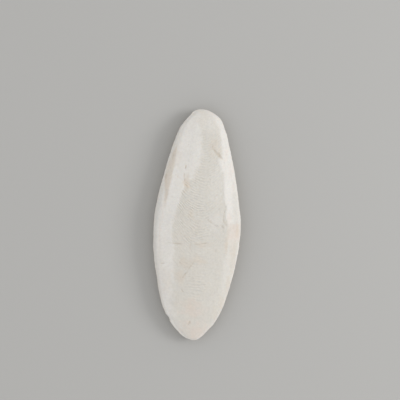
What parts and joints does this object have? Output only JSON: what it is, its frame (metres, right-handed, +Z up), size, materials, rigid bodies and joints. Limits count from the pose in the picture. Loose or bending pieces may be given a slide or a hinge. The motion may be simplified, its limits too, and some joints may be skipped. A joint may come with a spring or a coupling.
{
  "type": "cuttlebone",
  "caption": "Dried cuttlebone, long and oval, with a worn ridged chalky face above and an arched hard back; a calcium block for birds.",
  "frame": {"origin": "on the surface that the bone rests on, under the middle of its bounding box", "axes": "+Y along the bone towards its blunt end, +X across it to the right seen from above, +Z up out of the soft ridged face"},
  "size_m": [0.0445, 0.12, 0.013],
  "materials": {
    "bone": "matt chalky white, faintly warm, smooth on the flanks and finely ridged on the worn face"
  },
  "bodies": {
    "root": {"cuttlebone": "bone"}
  },
  "joints": []
}
